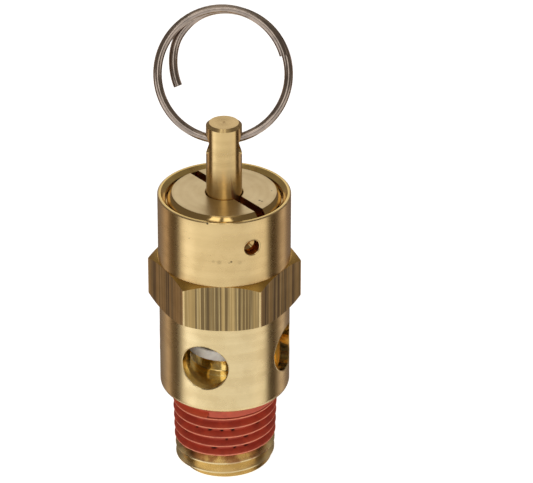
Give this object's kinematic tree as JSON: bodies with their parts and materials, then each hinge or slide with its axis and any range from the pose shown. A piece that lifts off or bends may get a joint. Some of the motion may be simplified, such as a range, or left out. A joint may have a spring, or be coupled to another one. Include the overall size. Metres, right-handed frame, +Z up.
{
  "type": "pressure relief valve",
  "caption": "Pop-off pressure relief valve with a male taper pipe thread, wrench hexagon, side discharge ports and a pull ring on a spring-loaded stem.",
  "frame": {"origin": "centre of the end face of the inlet thread, on the valve's axis", "axes": "+Z up along the valve's axis from the inlet thread to the pull ring; -Y is the front, +X is to the right seen from the front"},
  "size_m": [0.0202, 0.0178, 0.0633],
  "materials": {
    "brass": "turned and left bright, drawn bar on the hexagon's flats",
    "sealant": "dried thread sealant",
    "silicone": "moulded, matt",
    "spring_steel": "drawn wire",
    "ring_steel": "drawn wire, dull nickel"
  },
  "bodies": {
    "valve": {"body": "brass", "thread_sealant": "sealant", "adjusting_screw": "brass", "upper_spring_seat": "spring_steel"},
    "lifting_stem": {"stem": "brass", "disc_holder": "brass", "seat_disc": "silicone", "retaining_washer": "brass", "spring": "spring_steel"},
    "ring": {"pull_ring": "ring_steel"}
  },
  "joints": [
    {"name": "stem_lift", "type": "slide", "parent": "valve", "child": "lifting_stem", "axis": [0, 0, 1], "range_m": [0, 0.0024], "stiffness_N_per_m": 13900, "springref_m": -0.0018, "deforming": ["spring"]},
    {"name": "ring_swing", "type": "hinge", "parent": "lifting_stem", "child": "ring", "pos_m": [0, 0, 0.04705], "axis": [1, 0, 0], "range_deg": [-102, 164]}
  ]
}
